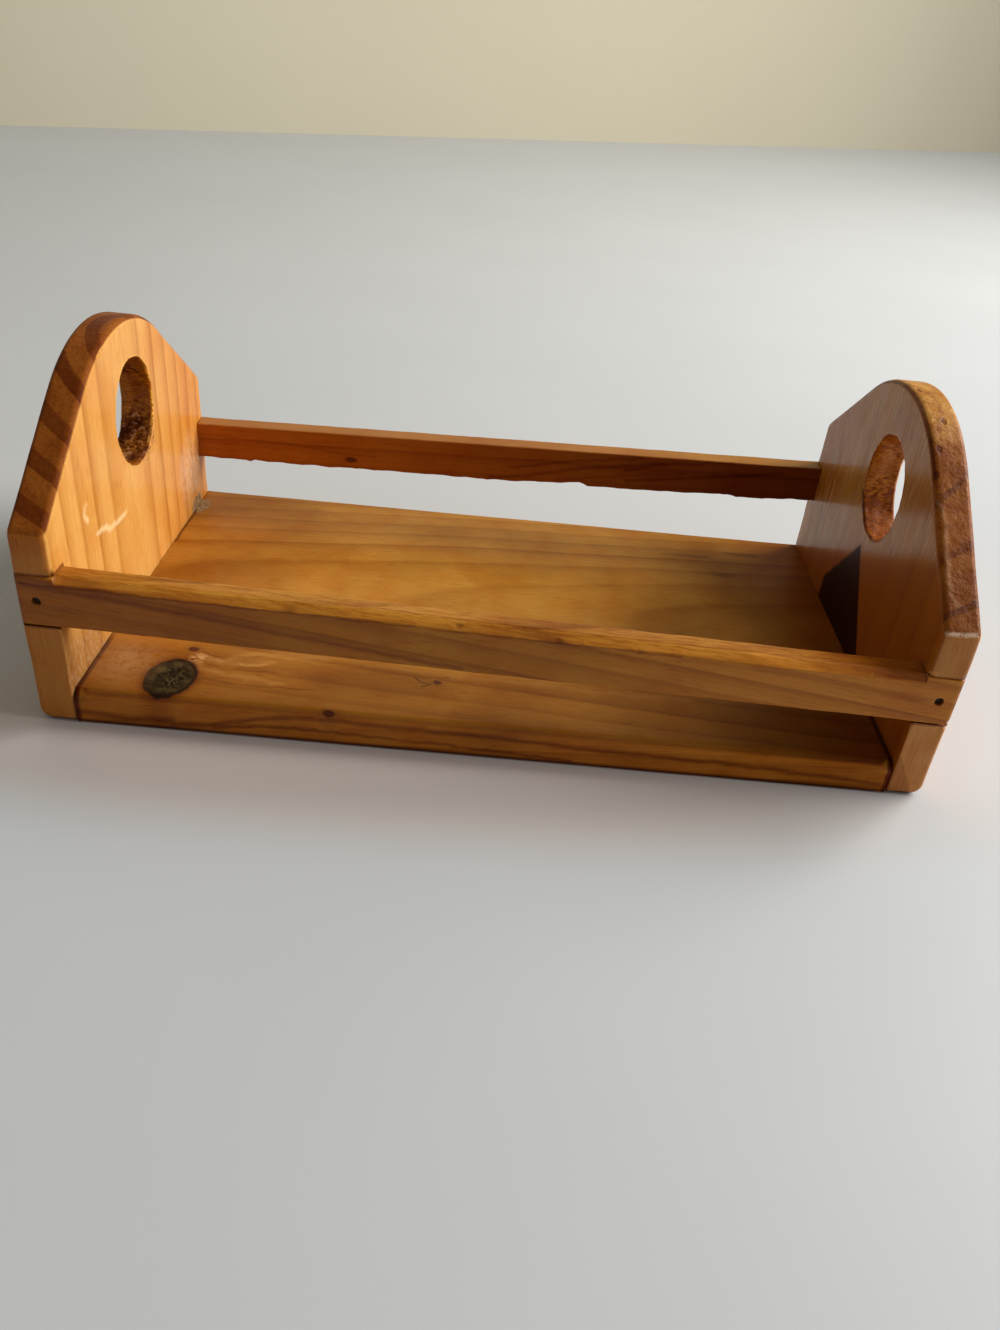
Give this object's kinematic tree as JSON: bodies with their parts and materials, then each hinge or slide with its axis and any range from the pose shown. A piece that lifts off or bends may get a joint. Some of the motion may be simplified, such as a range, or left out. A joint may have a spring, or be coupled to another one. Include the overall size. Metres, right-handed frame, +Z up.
{
  "type": "wooden tool tote",
  "caption": "Open wooden tote with two shaped end panels, round hand holes, a flat bottom board and low front and back rails let into notches.",
  "frame": {"origin": "on the floor, under the middle of the tote", "axes": "+X along the tote to its right end, +Y to its back, +Z up"},
  "size_m": [0.305, 0.168, 0.115],
  "materials": {
    "pine_panel": "orange-brown varnish, satin to gloss, over upright pine grain",
    "pine_board": "orange-brown varnish, satin, over pine grain along the length, with knots",
    "pine_rail": "orange-brown varnish, satin, over pine grain along the length",
    "nail_steel": "dark, dull wire nails punched below the surface"
  },
  "bodies": {
    "root": {"left_end_panel": "pine_panel", "right_end_panel": "pine_panel", "bottom_board": "pine_board", "front_rail": "pine_rail", "back_rail": "pine_rail", "front_rail_nails": "nail_steel", "back_rail_nails": "nail_steel", "left_panel_nails": "nail_steel", "right_panel_nails": "nail_steel"}
  },
  "joints": []
}
